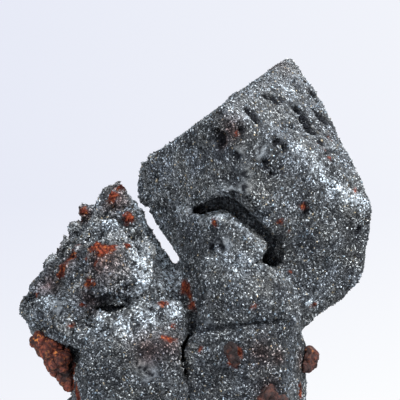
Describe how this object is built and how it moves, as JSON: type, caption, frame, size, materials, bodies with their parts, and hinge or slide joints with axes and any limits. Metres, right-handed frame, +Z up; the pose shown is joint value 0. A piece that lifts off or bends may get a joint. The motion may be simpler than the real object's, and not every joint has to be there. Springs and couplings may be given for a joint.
{
  "type": "hematite pseudomorph after magnetite",
  "caption": "Free-standing cluster of intergrown octahedral crystals with rough dark grey metallic faces, a hollow-faced main crystal and rusty crust, on a flat base.",
  "frame": {"origin": "bottom centre of the cluster's bounding box, in the plane of the flat base", "axes": "+Z up through the tall hollow-faced crystal; the pictured side faces -Y; +X is to the right of the picture"},
  "size_m": [0.0438, 0.0276, 0.054],
  "materials": {
    "hematite": "satin",
    "rust": "matte"
  },
  "bodies": {
    "root": {"hematite_cluster": "hematite", "rust_nodules_left": "rust", "rust_knob_right": "rust", "rust_patch_front": "rust", "rust_patch_low": "rust"}
  },
  "joints": []
}
